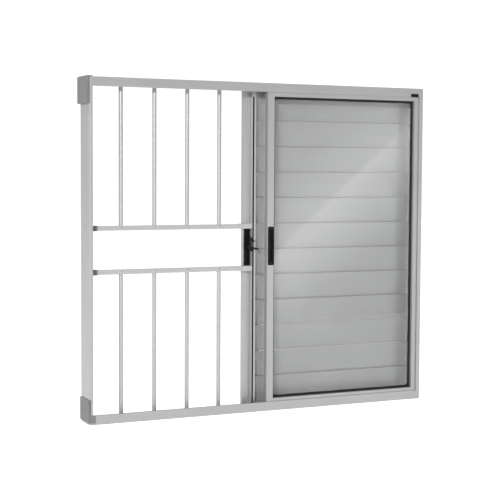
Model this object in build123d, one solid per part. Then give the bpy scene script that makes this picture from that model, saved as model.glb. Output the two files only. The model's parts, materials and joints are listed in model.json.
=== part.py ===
from build123d import *
import os

# Three-leaf aluminium sliding window with a fixed security grille over its left half.
# Millimetres. X runs across the window, Z is up. Depths are measured from the room face
# towards the outside, and write() centres the finished depth on Y = 0, so the origin is the
# middle of the sill's bottom face.

# ---------------------------------------------------------------- overall
WIDTH = 1120.0
HEIGHT = 1000.0
WALL = 2.0  # wall of the frame sections
FIN = 1.2  # fins that part the tracks
THIN = 1.5  # wall of leaf members
GRILLE_WALL = 1.0  # wall of the rails, the post and the seats they meet
SLIDE_GAP = 1.0  # a leaf to the fin or lip beside it

# ---------------------------------------------------------------- frame sections
SILL_LIP = 27.5
SILL_REAR_LIP = 13.0
HEAD_LIP = 27.0
HEAD_REAR_LIP = 18.0
JAMB_LIP = 11.0
PARKING_LIP = 16.5  # room-side lip of the right jamb, where the leaves park
JAMB_CHAMFER = 5.0
CHAMFER_WALL = 1.5  # wall behind the chamfer, measured level
SEAT_RISE = 14.0  # hollow seat that the grille stands on, from the sill's bottom
SEAT_DROP = 16.0  # the same under the head, from the head's top
FIN_RISE = 9.0
TRACK_TOP = 7.0  # top of the ridge that the rollers run on
TRACK_RIDGE = 2.0
FIXING_HOLE_R = 2.75
FIXING_SPACING = 700.0

# ---------------------------------------------------------------- depths of the layers
GLASS_LEAF_DEPTH = 20.0
GLASS_FRONT_GAP = 2.0
LEVER_GAP = 2.3  # behind the glass leaf's fin
LEVER_THICK = 4.0
LEVER_CLEAR = 2.0  # lever to grille
GRILLE_DEPTH = 15.0
LOUVRE_FRONT_GAP = 1.5
LOUVRE_DEPTH = 12.0
FIXED_DEPTH = 11.4
LOUVRE_GAP = 0.8

# ---------------------------------------------------------------- grille
BAR_COUNT = 4
BAR_R = 6.35
BAR_WALL = 1.2
BAR_FIT = 0.05  # bar to the hole it enters
BAR_WALL_GAP = 98.5  # jamb to the first bar's axis
BAR_POST_GAP = 107.5  # last bar's axis to the post
RAIL_H = 14.0
RAIL_SPACING = 128.0  # between the two rails' axes
RAIL_MID_RISE = 2.0  # middle of the hand gap, above half height
POST_RIGHT = -18.5
POST_W = 12.0
STRIP_W = 4.8
STRIP_PROUD = 0.6
STRIP_DEPTH = 1.2
STRIP_EDGE = 1.1  # post's left edge to its strip
STRIP_DROP = 40.0  # strip's end below the head's top
SLEEVE_WALL = 1.0
WALL_SLEEVE_L = 25.0
SCREW_HOLE_END = 5  # plug left past the jamb screw's hole
SCREW_END = 3  # hole left past the jamb screw
POST_SLEEVE_L = 44.0
SLEEVE_OVERLAP = 1.5  # flange of a post sleeve, on its rail's side away from the hand gap
RIVET_R = 1.6
RIVET_HEAD_R = 3.2
RIVET_HEAD = 1.0
RIVET_ROUND = 0.7

# ---------------------------------------------------------------- leaves
STOP_GAP = 3.0  # leaf edge to jamb wall, for the bumper
BUMPER = 2.0
BUMPER_H = 24.0
LEAF_FLOOR = 9.0  # underside of a sliding leaf
LEAF_HEAD_GAP = 12.0  # leaf top to the head's top
GLASS_REST_EDGE = 6.5  # glass leaf's free edge, right of the middle
GLASS_STILE = 22.5
GLASS_JAMB_STILE = 27.0
GLASS_RAIL = 28.5
GLASS_TOP_RAIL = 28.0
REBATE = 8.0
PANE_EDGE = 2  # edge of the pane to the bottom of its rebate
PANE_FIT = 0.2  # pane and gasket to the rebate's cheeks
PANE = 4.0
GASKET_T = 3.4
GASKET_SHOW = 7.0
GASKET_CORNER = 8.0
LOUVRE_REST_EDGE = -55.0  # louvre leaf's lock edge
LOUVRE_STILE = 28.0
LOUVRE_JAMB_STILE = 14.0
FIXED_STILE = 22.0
FIXED_EDGE = -12.0
LOUVRE_RAIL = 13.5
LOUVRE_TOP_RAIL = 20.0
BLADE_COUNT = 12
BLADE_T = 1.2
BLADE_SET_BACK = 1.2  # blade to the stiles' front and back faces
BLADE_LIP = 4.0
BLADE_GAP = 0.6

# ---------------------------------------------------------------- rollers
ROLLER_R = 6.0
ROLLER_GROOVE_R = 5.0
ROLLER_W = 5.0
ROLLER_GROOVE_W = 2.8
AXLE_R = 1.5
AXLE_FIT = 0.05
ROLLER_FLOAT = 0.05  # groove to ridge
ROLLER_INSET = 60.0  # from the leaf's edge
HOUSING_L = 34.0
HOUSING_DROP = 3  # cheeks below the axle
HOUSING_WALL = 1.4
HOUSING_CLEAR = 0.4

# ---------------------------------------------------------------- handles and latch
LOCK_W = 21.5
LOCK_H = 126.0
LOCK_INSET = 15.0  # lock's axis from the louvre leaf's edge
LOCK_PROUD = 1.0
LOCK_BODY = 7.6
LOCK_FLANGE = 2.7  # side flange of the lock and the pull
LOCK_FLANGE_END = 10.2
POCKET_GAP = 0.2  # body of a handle to its pocket, each side
LOCK_SKIN = 1.6
LOCK_SCREW_INSET = 5.0
PULL_W = 20.0
PULL_H = 118.0
PULL_INSET = 12.25
PULL_PROUD = 1.0
PULL_BODY = 8.1
PULL_RISE = 4.5  # pull's middle above the hand gap's middle
PULL_FLANGE_END = 9.2
PULL_SCREW_INSET = 4.5
PULL_SCREW_L = 4.0
LOCK_SCREW_L = 4.0
FLOAT = 0.3  # moving part of a handle to its shell
LATCH_H = 22.0
LATCH_PLATE = 3.2
LATCH_RIB = 1.0
LATCH_RIBS = 3
SPINDLE_R = 3.5
SPINDLE_FIT = 0.05
HUB_R = 6.5
HEEL = 3.0
FINGER_DROP = 6.5
UPPER_FINGER_DROP = 18.0
SPINE_W = 4.6
SPINE_UP = 34.0
SPINE_DOWN = 10.0
FINGER_T = 4.4
FINGER_REACH = 30.0
UPPER_FINGER_REACH = 16.0

# ---------------------------------------------------------------- trim
GUARD_T = 10.0
GUARD_H = 76.0
GUARD_ROUND = 5.0
GUARD_CAP = 3.0
GUARD_BACK_ROUND = 6.0
LOWER_GUARD_T = 4.0
LOWER_GUARD_ROUND = 1.5
FOOT_W = 17.5
FOOT_T = 2.0
LOWER_GUARD_H = 67.0
LOWER_GUARD_RISE = 6.0
BADGE_W = 28.0
BADGE_H = 10.5
BADGE_T = 0.8
BADGE_INSET = 20.0
BADGE_DROP = 17.0  # badge's top below the head's top
BADGE_ROUND = 1.5
STRIKE_T = 1.2
STRIKE_W = 8.0
STRIKE_H = 60.0
STRIKE_SLOT_W = 4.0
STRIKE_SLOT_H = 24.0
SCREW_R = 2.0
SCREW_HEAD_R = 4.0
SCREW_HEAD = 1.6
SINK = 0.6  # depth of a flat screw head in a handle's flange
SHELL_ROUND = 4.0

# ---------------------------------------------------------------- worked out
glass_front = WALL + GLASS_FRONT_GAP
glass_back = glass_front + GLASS_LEAF_DEPTH
fin_1 = glass_back + SLIDE_GAP
lever_front = fin_1 + FIN + LEVER_GAP
lever_back = lever_front + LEVER_THICK
grille_front = lever_back + LEVER_CLEAR
grille_back = grille_front + GRILLE_DEPTH
grille_mid = (grille_front + grille_back) / 2
louvre_front = grille_back + LOUVRE_FRONT_GAP
louvre_back = louvre_front + LOUVRE_DEPTH
fin_2 = louvre_back + LOUVRE_GAP
fixed_front = fin_2 + FIN + LOUVRE_GAP
fixed_back = fixed_front + FIXED_DEPTH
DEPTH = fixed_back + LOUVRE_GAP + WALL

half = WIDTH / 2
inner = half - JAMB_LIP  # clear opening between the jamb lips
web = half - WALL  # inner face of a jamb's wall
stop = web - STOP_GAP  # a leaf's edge at the end of its travel
leaf_top = HEIGHT - LEAF_HEAD_GAP
seat_low = SEAT_RISE
seat_high = HEIGHT - SEAT_DROP
post_left = POST_RIGHT - POST_W
rail_mid = HEIGHT / 2 + RAIL_MID_RISE
rail_z = {"upper": rail_mid + RAIL_SPACING / 2, "lower": rail_mid - RAIL_SPACING / 2}
bar_pitch = (post_left - BAR_POST_GAP + inner - BAR_WALL_GAP) / (BAR_COUNT - 1)
bar_x = [-inner + BAR_WALL_GAP + n * bar_pitch for n in range(BAR_COUNT)]
pane_back = glass_back - WALL
pane_front = pane_back - PANE
rebate_front = pane_front - GASKET_T
glass_mid = (glass_front + glass_back) / 2
louvre_mid = (louvre_front + louvre_back) / 2
lock_x = LOUVRE_REST_EDGE + LOCK_INSET
pull_x = GLASS_REST_EDGE + PULL_INSET
axle_z = TRACK_TOP + ROLLER_FLOAT + ROLLER_GROOVE_R
pull_mid = rail_mid + PULL_RISE
lock_back = louvre_front + LOCK_BODY
# half width, half height, how far it stands out, screw inset, middle; then the pocket's
lock_size = {
    "plate": (LOCK_W / 2, LOCK_H / 2, LOCK_PROUD, LOCK_SCREW_INSET, rail_mid),
    "pocket": (
        LOCK_W / 2 - LOCK_FLANGE + POCKET_GAP,
        LOCK_H / 2 - LOCK_FLANGE_END + POCKET_GAP,
        LOCK_BODY + 2 * POCKET_GAP,
        rail_mid,
    ),
}
pull_size = {
    "plate": (PULL_W / 2, PULL_H / 2, PULL_PROUD, PULL_SCREW_INSET, pull_mid),
    "pocket": (
        PULL_W / 2 - LOCK_FLANGE + POCKET_GAP,
        PULL_H / 2 - PULL_FLANGE_END + POCKET_GAP,
        PULL_BODY + 2 * POCKET_GAP,
        pull_mid,
    ),
}


# ---------------------------------------------------------------- helpers
def block(x0, x1, y0, y1, z0, z1):
    """A box between two corners."""
    size = (x1 - x0, y1 - y0, z1 - z0)
    return Pos((x0 + x1) / 2, (y0 + y1) / 2, (z0 + z1) / 2) * Box(*size)


def rod(x, y, z, radius, length, axis):
    """A cylinder of a length centred at x, y, z, along an axis named x, y or z."""
    turn = {"x": Rotation(0, 90, 0), "y": Rotation(90, 0, 0), "z": Rotation(0, 0, 0)}
    return Pos(x, y, z) * turn[axis] * Cylinder(radius, length)


def tube_block(x0, x1, y0, y1, z0, z1, wall, along):
    """A rectangular tube, open at both ends along the named axis."""
    low, high = [x0, y0, z0], [x1, y1, z1]
    for n, name in enumerate("xyz"):
        step = -1.0 if name == along else wall
        low[n] += step
        high[n] -= step
    hole = block(low[0], high[0], low[1], high[1], low[2], high[2])
    return block(x0, x1, y0, y1, z0, z1) - hole


def slab_xz(points, y0, y1):
    """A flat shape drawn in X and Z, between two depths."""
    face = make_face(Polyline(*[(x, z) for x, z in points], close=True))
    return Pos(0, y1, 0) * extrude(Rotation(90, 0, 0) * face, y1 - y0, dir=(0, -1, 0))


def slab_xy(points, z0, z1):
    """A flat shape drawn in X and Y, between two heights."""
    face = make_face(Polyline(*points, close=True))
    return Pos(0, 0, z0) * extrude(face, z1 - z0)


def slab_yz(points, x0, x1):
    """A section drawn in Y and Z, run along X."""
    face = make_face(Polyline(*points, close=True))
    return Pos(x0, 0, 0) * extrude(Plane.YZ * face, x1 - x0)


def screw(x, y, z, length, axis, way):
    """A pan-head screw with its head's seat at x, y, z and its shank running way along axis."""
    step = {"x": (1, 0, 0), "y": (0, 1, 0), "z": (0, 0, 1)}[axis]
    place = Vector(x, y, z)
    shank = place + Vector(*step) * (way * length / 2)
    head = place - Vector(*step) * (way * SCREW_HEAD / 2)
    body = rod(*tuple(shank), SCREW_R, length, axis)
    return body + rod(*tuple(head), SCREW_HEAD_R, SCREW_HEAD, axis)


def screw_hole(x, y, z, length, axis, way):
    """The clearance hole for a screw of that place and length."""
    step = {"x": (1, 0, 0), "y": (0, 1, 0), "z": (0, 0, 1)}[axis]
    middle = Vector(x, y, z) + Vector(*step) * (way * length / 2)
    return rod(*tuple(middle), SCREW_R, length, axis)


def write(name, shape):
    """Writes one node, with the window's depth centred on Y = 0."""
    solids = shape.solids() if hasattr(shape, "solids") else [s for p in shape for s in p.solids()]
    moved = [Pos(0, -DEPTH / 2, 0) * s for s in solids]
    body = moved[0] if len(moved) == 1 else Compound(children=moved)
    export_step(body, f"parts/{name}.step")


# ---------------------------------------------------------------- frame
def crosspiece(floor, lip, rear_lip, seat, fin_end, up):
    """The sill (up = 1) or the head (up = -1): a floor with lips, track fins and a grille seat."""

    def band(x, y0, y1, rise0, rise1):
        z = sorted((floor + up * rise0, floor + up * rise1))
        return block(-x, x, y0, y1, z[0], z[1])

    body = band(web, WALL, DEPTH - WALL, 0, WALL)
    body += band(inner, 0, DEPTH, 0, WALL)
    body += band(inner, 0, WALL, 0, lip)
    body += band(inner, DEPTH - WALL, DEPTH, 0, rear_lip)
    for fin in (fin_1, fin_2):
        body += band(inner, fin, fin + FIN, 0, fin_end)
    body += band(inner, grille_front, grille_back, 0, seat)
    hollow_front, hollow_back = grille_front + GRILLE_WALL, grille_back - GRILLE_WALL
    body -= band(inner + 1, hollow_front, hollow_back, WALL, seat - GRILLE_WALL)
    fixing_y = (fin_1 + FIN + grille_front) / 2
    for x in (-FIXING_SPACING / 2, FIXING_SPACING / 2):
        body -= rod(x, fixing_y, floor + up * WALL / 2, FIXING_HOLE_R, 4 * WALL, "z")
    for x in bar_x:
        wall_z = floor + up * (seat - GRILLE_WALL / 2)
        body -= rod(x, grille_mid, wall_z, BAR_R + BAR_FIT, 2 * GRILLE_WALL, "z")
    return body


def sill():
    body = crosspiece(0, SILL_LIP, SILL_REAR_LIP, SEAT_RISE, FIN_RISE, 1)
    for y in (glass_mid, louvre_mid):
        side = TRACK_RIDGE / 2
        body += block(-inner, inner, y - side, y + side, WALL, TRACK_TOP)
    return body


def head():
    return crosspiece(HEIGHT, HEAD_LIP, HEAD_REAR_LIP, SEAT_DROP, HEAD_REAR_LIP - WALL, -1)


def left_jamb():
    """Upright channel: an outer wall, two lips, two fins and a hollow seat for the rails."""
    body = block(-half, -web, 0, DEPTH, 0, HEIGHT)
    body += block(-half, -inner, 0, WALL, 0, HEIGHT)
    body += block(-half, -inner, DEPTH - WALL, DEPTH, 0, HEIGHT)
    for fin in (fin_1, fin_2):
        body += block(-web, -inner, fin, fin + FIN, WALL, HEIGHT - WALL)
    body += tube_block(-half, -inner, grille_front, grille_back, WALL, HEIGHT - WALL, WALL, "z")
    skin = CHAMFER_WALL * 2**0.5
    reach = JAMB_CHAMFER + skin - WALL
    corner = [(-web, WALL), (-web + reach - WALL, WALL), (-web, reach)]
    body += slab_xy(corner, WALL, HEIGHT - WALL)
    cut = [(-half - 1, -1), (-half + JAMB_CHAMFER + 1, -1), (-half - 1, JAMB_CHAMFER + 1)]
    return body - slab_xy(cut, -1, HEIGHT + 1)


def right_jamb(left):
    """The left jamb's mirror image, with a wider lip between the sill's lip and the head's."""
    body = mirror(left, Plane.YZ)
    return body + block(half - PARKING_LIP, inner, 0, WALL, SILL_LIP, HEIGHT - HEAD_LIP)


def jamb_bumpers(side):
    """Rubber pads on a jamb's wall that the leaves meet."""
    pads = []
    for y, depth in ((glass_mid, GLASS_LEAF_DEPTH), (louvre_mid, LOUVRE_DEPTH)):
        for z in (HEIGHT / 5, HEIGHT * 4 / 5):
            x = sorted((side * web, side * (web - BUMPER)))
            low, high = z - BUMPER_H / 2, z + BUMPER_H / 2
            pads.append(block(x[0], x[1], y - depth / 4, y + depth / 4, low, high))
    return pads


def strike(y):
    """Keeper on the left jamb's wall, where a leaf's latch meets it."""
    w, h, slot_w, slot_h = STRIKE_W / 2, STRIKE_H / 2, STRIKE_SLOT_W / 2, STRIKE_SLOT_H / 2
    plate = block(-web, -web + STRIKE_T, y - w, y + w, rail_mid - h, rail_mid + h)
    x0, x1 = -web - 1, -web + STRIKE_T + 1
    return plate - block(x0, x1, y - slot_w, y + slot_w, rail_mid - slot_h, rail_mid + slot_h)


# ---------------------------------------------------------------- grille
def rail(z):
    """One level rail: a rectangular tube with the bars' holes and the rivets' holes."""
    low, high = z - RAIL_H / 2, z + RAIL_H / 2
    body = tube_block(-inner, post_left, grille_front, grille_back, low, high, GRILLE_WALL, "x")
    side = 1 if z > rail_mid else -1
    for x in bar_x:
        body -= rod(x, grille_mid, z + side * (RAIL_H / 2), BAR_R + BAR_FIT, 3 * GRILLE_WALL, "z")
        body -= rod(x, grille_front, z, RIVET_R, 3 * GRILLE_WALL, "y")
    return body - rail_screw_hole(z)


def rail_plug(z):
    """Solid plug in the rail's jamb end that the jamb screw bites."""
    reach = RAIL_H / 2 - GRILLE_WALL
    y0, y1 = grille_front + GRILLE_WALL, grille_back - GRILLE_WALL
    plug = block(-inner, -inner + WALL_SLEEVE_L, y0, y1, z - reach, z + reach)
    return plug - rail_screw_hole(z)


def rail_screw_hole(z):
    return screw_hole(-half, grille_mid, z, JAMB_LIP + WALL_SLEEVE_L - SCREW_HOLE_END, "x", 1)


def bar(x, side):
    """One upright round bar, from a rail to the head (side = 1) or to the sill (side = -1)."""
    z = rail_mid + side * RAIL_SPACING / 2
    near = z - side * (RAIL_H / 2 - GRILLE_WALL)
    far = HEIGHT - WALL if side > 0 else WALL
    far -= side * 2 * SLIDE_GAP
    middle, length = (near + far) / 2, abs(far - near)
    body = rod(x, grille_mid, middle, BAR_R, length, "z")
    body -= rod(x, grille_mid, middle, BAR_R - BAR_WALL, length + 2, "z")
    return body - rod(x, grille_mid - BAR_R, z, RIVET_R, 2 * BAR_R, "y")


def rivets():
    """Dome-head rivets, one at each bar's end in its rail."""
    out = []
    for z in rail_z.values():
        for x in bar_x:
            length = grille_mid - grille_front - BAR_R + BAR_WALL * 2
            shank = rod(x, grille_front + length / 2, z, RIVET_R, length, "y")
            flange = rod(x, grille_front - RIVET_HEAD / 2, z, RIVET_HEAD_R, RIVET_HEAD, "y")
            front = flange.faces().sort_by(Axis.Y)[0]
            out.append(shank + fillet(front.edges(), RIVET_ROUND))
    return out


def post():
    """The upright at the middle of the window, with a groove for its black strip."""
    body = tube_block(
        post_left, POST_RIGHT, grille_front, grille_back, seat_low, seat_high, GRILLE_WALL, "z"
    )
    body += block(
        post_left, POST_RIGHT, grille_front, grille_front + 3 * GRILLE_WALL, seat_low, seat_high
    )
    groove = strip_box(STRIP_W, 1)
    return body - groove


def strip_box(width, over):
    """The strip's own box, or its groove when it is run past the post's ends."""
    return block(
        post_left + STRIP_EDGE,
        post_left + STRIP_EDGE + width,
        grille_front - STRIP_PROUD,
        grille_front + STRIP_DEPTH,
        seat_low - over,
        HEIGHT - STRIP_DROP,
    )


def wall_sleeve(z):
    """Dark sleeve round a rail's jamb end, open at the back."""
    reach = RAIL_H / 2
    x0, x1 = -inner, -inner + WALL_SLEEVE_L
    body = block(
        x0, x1, grille_front - SLEEVE_WALL, grille_back, z - reach - SLEEVE_WALL, z + reach + SLEEVE_WALL
    )
    return body - block(x0 - 1, x1 + 1, grille_front, grille_back + 1, z - reach, z + reach)


def post_sleeve(z):
    """Clip that joins a rail to the post: a plate before the rail and a flange along it."""
    reach = RAIL_H / 2
    x0, x1 = post_left - POST_SLEEVE_L, post_left
    low, high = z - reach, z + reach
    far = high + SLEEVE_OVERLAP if z > rail_mid else low - SLEEVE_OVERLAP
    edge = high if z > rail_mid else low
    plate = block(x0, x1, grille_front - SLEEVE_WALL, grille_front, min(low, far), max(high, far))
    flange = block(x0, x1, grille_front, grille_back, min(edge, far), max(edge, far))
    return plate + flange


# ---------------------------------------------------------------- louvre leaves
def blade_section(front, back, z0, pitch):
    """A blade that falls outwards: an upright lip, a slope and an upright drip edge."""
    y0, y1 = front + BLADE_SET_BACK, back - BLADE_SET_BACK
    top, low = z0 + pitch - BLADE_GAP, z0 - BLADE_LIP / 2
    t = BLADE_T
    return [
        (y0, top - BLADE_LIP),
        (y0, top),
        (y0 + t, top),
        (y0 + t, top - BLADE_LIP + t),
        (y1, low + BLADE_LIP + t),
        (y1, low),
        (y1 - t, low),
        (y1 - t, low + BLADE_LIP),
    ]


def blades(x0, x1, front, back, z0, z1):
    """The stack of fixed blades between two stiles."""
    pitch = (z1 - z0 - BLADE_LIP) / BLADE_COUNT
    out = []
    for n in range(BLADE_COUNT):
        low = z0 + BLADE_LIP / 2 + BLADE_GAP + n * pitch
        out.append(slab_yz(blade_section(front, back, low, pitch), x0, x1))
    return out


def louvre_members(edges, front, back, floor, top, top_rail):
    """Two stiles and two rails of a louvre leaf, each a tube; the rails fit between the stiles."""
    x0, a, b, x1 = edges
    left = tube_block(x0, a, front, back, floor, top, THIN, "z")
    right = tube_block(b, x1, front, back, floor, top, THIN, "z")
    low = block(a, b, front, back, floor, floor + LOUVRE_RAIL)
    rail_top = floor + LOUVRE_RAIL - THIN
    low -= block(a - 1, b + 1, front + THIN, back - THIN, floor - 1, rail_top)
    high = tube_block(a, b, front, back, top - top_rail, top, THIN, "x")
    return left, right, low, high


# ---------------------------------------------------------------- glass leaf
def glass_hollow(x0, x1, z0, z1):
    """Space inside a member, within its walls."""
    return block(x0, x1, glass_front + THIN, rebate_front - THIN, z0, z1)


def glass_leaf():
    """Stiles and rails of the glass leaf. The pane sits in a rebate behind their front wall."""
    x0, x1 = GLASS_REST_EDGE, stop
    z0, z1 = LEAF_FLOOR, leaf_top
    a, b = x0 + GLASS_STILE, x1 - GLASS_JAMB_STILE
    low, high = z0 + GLASS_RAIL, z1 - GLASS_TOP_RAIL
    rebate = block(a - REBATE, b + REBATE, rebate_front, pane_back, low - REBATE, high + REBATE)
    left = block(x0, a, glass_front, glass_back, z0, z1) - rebate
    left -= glass_hollow(x0 + THIN, a - THIN, z0 - 1, z1 + 1)
    right = block(b, x1, glass_front, glass_back, z0, z1) - rebate
    right -= glass_hollow(b + THIN, x1 - THIN, z0 - 1, z1 + 1)
    bottom = block(a, b, glass_front, glass_back, z0, low) - rebate
    channel = low - REBATE - THIN
    bottom -= block(a - 1, b + 1, glass_front + THIN, glass_back - THIN, z0 - 1, channel)
    top = block(a, b, glass_front, glass_back, high, z1) - rebate
    top -= block(a - 1, b + 1, glass_front + THIN, glass_back - THIN, high + REBATE + THIN, z1 - THIN)
    return left, right, bottom, top, (a, b, low, high)


def pane(opening):
    a, b, low, high = opening
    edge = REBATE - PANE_EDGE
    return block(a - edge, b + edge, pane_front, pane_back - PANE_FIT, low - edge, high + edge)


def gasket(opening):
    """Black rubber bead round the pane, its inner corners rounded."""
    a, b, low, high = opening
    edge = REBATE - PANE_EDGE
    body = block(a - edge, b + edge, rebate_front + PANE_FIT, pane_front, low - edge, high + edge)
    s = GASKET_SHOW
    hole = block(a + s, b - s, rebate_front - 1, pane_front + 1, low + s, high - s)
    hole = fillet(hole.edges().filter_by(Axis.Y), GASKET_CORNER)
    return body - hole


# ---------------------------------------------------------------- rollers
def roller(x, y):
    body = rod(x, y, axle_z, ROLLER_R, ROLLER_W, "y")
    ring = rod(x, y, axle_z, ROLLER_R + 1, ROLLER_GROOVE_W, "y")
    ring -= rod(x, y, axle_z, ROLLER_GROOVE_R, ROLLER_GROOVE_W, "y")
    return body - ring - rod(x, y, axle_z, AXLE_R + AXLE_FIT, ROLLER_W + 1, "y")


def roller_housing(x, y, top):
    """Cheeks each side of a roller, joined above it, with a hole for the axle."""
    side = ROLLER_W / 2 + HOUSING_CLEAR
    out = side + HOUSING_WALL
    head_z = axle_z + ROLLER_R + HOUSING_CLEAR
    body = block(x - HOUSING_L / 2, x + HOUSING_L / 2, y - out, y + out, axle_z - HOUSING_DROP, top)
    body -= block(x - HOUSING_L, x + HOUSING_L, y - side, y + side, axle_z - HOUSING_DROP - 1, head_z)
    return body - rod(x, y, axle_z, AXLE_R, 2 * out + 1, "y")


def axle(x, y):
    return rod(x, y, axle_z, AXLE_R, ROLLER_W + 2 * (HOUSING_CLEAR + HOUSING_WALL), "y")


# ---------------------------------------------------------------- handles
def handle_pocket(x, size, front):
    """Hole in a stile that takes a handle's shell."""
    w, h, depth, middle = size["pocket"]
    return block(x - w, x + w, front - 1, front + depth, middle - h, middle + h)


def screw_heights(size):
    _, h, _, inset, middle = size["plate"]
    return middle - h + inset, middle + h - inset


def handle_shell(x, size, front):
    """Flanged black shell with a finger recess: the lock's and the pull's common shape."""
    w, h, proud, _, middle = size["plate"]
    face = front - proud
    plate = block(x - w, x + w, face, front, middle - h, middle + h)
    plate = fillet(plate.edges().filter_by(Axis.Y), SHELL_ROUND)
    w, h, depth, middle = size["pocket"]
    w, h, floor = w - POCKET_GAP, h - POCKET_GAP, front + depth - 2 * POCKET_GAP
    body = plate + block(x - w, x + w, front, floor, middle - h, middle + h)
    w, h = w - LOCK_SKIN, h - LOCK_SKIN
    body -= block(x - w, x + w, face - 1, floor - LOCK_SKIN, middle - h, middle + h)
    for z in screw_heights(size):
        body -= rod(x, front, z, SCREW_R, 2 * SINK + 2 * proud, "y")
        body -= rod(x, face, z, SCREW_R + 1, 2 * SINK, "y")
    return body


def handle_screws(x, size, front, length):
    """The two flat-head screws that hold a shell to its stile."""
    face = front - size["plate"][2]
    out = []
    for z in screw_heights(size):
        head = rod(x, face + SINK / 2, z, SCREW_R + 1, SINK, "y")
        out.append(head + rod(x, face + SINK + length / 2, z, SCREW_R, length, "y"))
    return out


def lock_body():
    """The lock's shell, with a boss for the lever's spindle."""
    body = handle_shell(lock_x, lock_size, louvre_front)
    face = louvre_front - LOCK_PROUD
    depth = lock_back - face
    boss_r = lock_size["pocket"][0] - POCKET_GAP - LOCK_SKIN / 2
    body += rod(lock_x, face + depth / 2, rail_mid, boss_r, depth, "y")
    bore = SPINDLE_R + SPINDLE_FIT
    return body - rod(lock_x, face + depth / 2 - LOCK_SKIN, rail_mid, bore, depth, "y")


def lever():
    """Claw lever: a spindle, a hub and a flat claw with an upper and a lower finger."""
    end = lock_back - LOCK_SKIN - FLOAT
    spindle = rod(lock_x, (lever_back + end) / 2, rail_mid, SPINDLE_R, end - lever_back, "y")
    hub = rod(lock_x, (lever_front + lever_back) / 2, rail_mid, HUB_R, LEVER_THICK, "y")
    x = lock_x + HUB_R
    foot, top = rail_mid - SPINE_DOWN, rail_mid + SPINE_UP
    finger = rail_mid - FINGER_DROP
    upper = top - UPPER_FINGER_DROP
    claw = [
        (x - SPINE_W, foot),
        (x + SPINE_W / 2, foot - HEEL),
        (x + SPINE_W, foot + HEEL),
        (x, finger + HEEL - FINGER_T / 2),
        (lock_x + FINGER_REACH, finger - FINGER_T / 2),
        (lock_x + FINGER_REACH, finger + FINGER_T / 2),
        (x, finger + 2 * HEEL + FINGER_T / 2),
        (x, upper + HEEL),
        (lock_x + UPPER_FINGER_REACH, upper),
        (lock_x + UPPER_FINGER_REACH, upper + FINGER_T),
        (x - SPINE_W, top),
    ]
    return spindle + hub + slab_xz(claw, lever_front, lever_back)


def thumb_latch():
    """Ridged button that slides up in the pull's recess."""
    w = pull_size["pocket"][0] - POCKET_GAP - LOCK_SKIN - FLOAT
    floor = glass_front + PULL_BODY - LOCK_SKIN - FLOAT
    face = floor - LATCH_PLATE
    z = pull_mid - LATCH_H / 2
    body = block(pull_x - w, pull_x + w, face, floor, z, z + LATCH_H)
    for n in range(LATCH_RIBS):
        rib = z + LATCH_H / (LATCH_RIBS + 1) * (n + 1)
        body += block(
            pull_x - w, pull_x + w, face - LATCH_RIB, face, rib - LATCH_RIB, rib + LATCH_RIB
        )
    return body


# ---------------------------------------------------------------- trim
def upper_guard():
    """Plastic corner guard outside the left jamb, with a cap over its top."""
    low = HEIGHT - GUARD_H
    body = block(-half - GUARD_T, -half, 0, DEPTH, low, HEIGHT + GUARD_CAP)
    body = fillet(body.edges().filter_by(Axis.Y).group_by(Axis.X)[0], GUARD_ROUND)
    body = fillet(body.edges().filter_by(Axis.Z).sort_by(Axis.Y)[-1:], GUARD_BACK_ROUND)
    body += block(-half - 1, -half + JAMB_LIP, 0, DEPTH, HEIGHT, HEIGHT + GUARD_CAP)
    return body


def lower_guard():
    """Thin plastic guard outside the left jamb, with a foot on the sill's room face."""
    z0 = LOWER_GUARD_RISE
    body = block(-half - LOWER_GUARD_T, -half, -FOOT_T, DEPTH, z0, z0 + LOWER_GUARD_H)
    body = fillet(body.edges().filter_by(Axis.Y).group_by(Axis.X)[0], LOWER_GUARD_ROUND)
    body += block(-half - 1, -half + FOOT_W, -FOOT_T, 0, z0, SILL_LIP)
    corner = [(-half, 0), (-half + JAMB_CHAMFER, 0), (-half, JAMB_CHAMFER)]
    return body + slab_xy(corner, z0, SILL_LIP)


def badge():
    """Blank plate on the head's face."""
    x1 = half - BADGE_INSET
    z1 = HEIGHT - BADGE_DROP
    body = block(x1 - BADGE_W, x1, -BADGE_T, 0, z1 - BADGE_H, z1)
    return fillet(body.edges().filter_by(Axis.Y), BADGE_ROUND)


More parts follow.
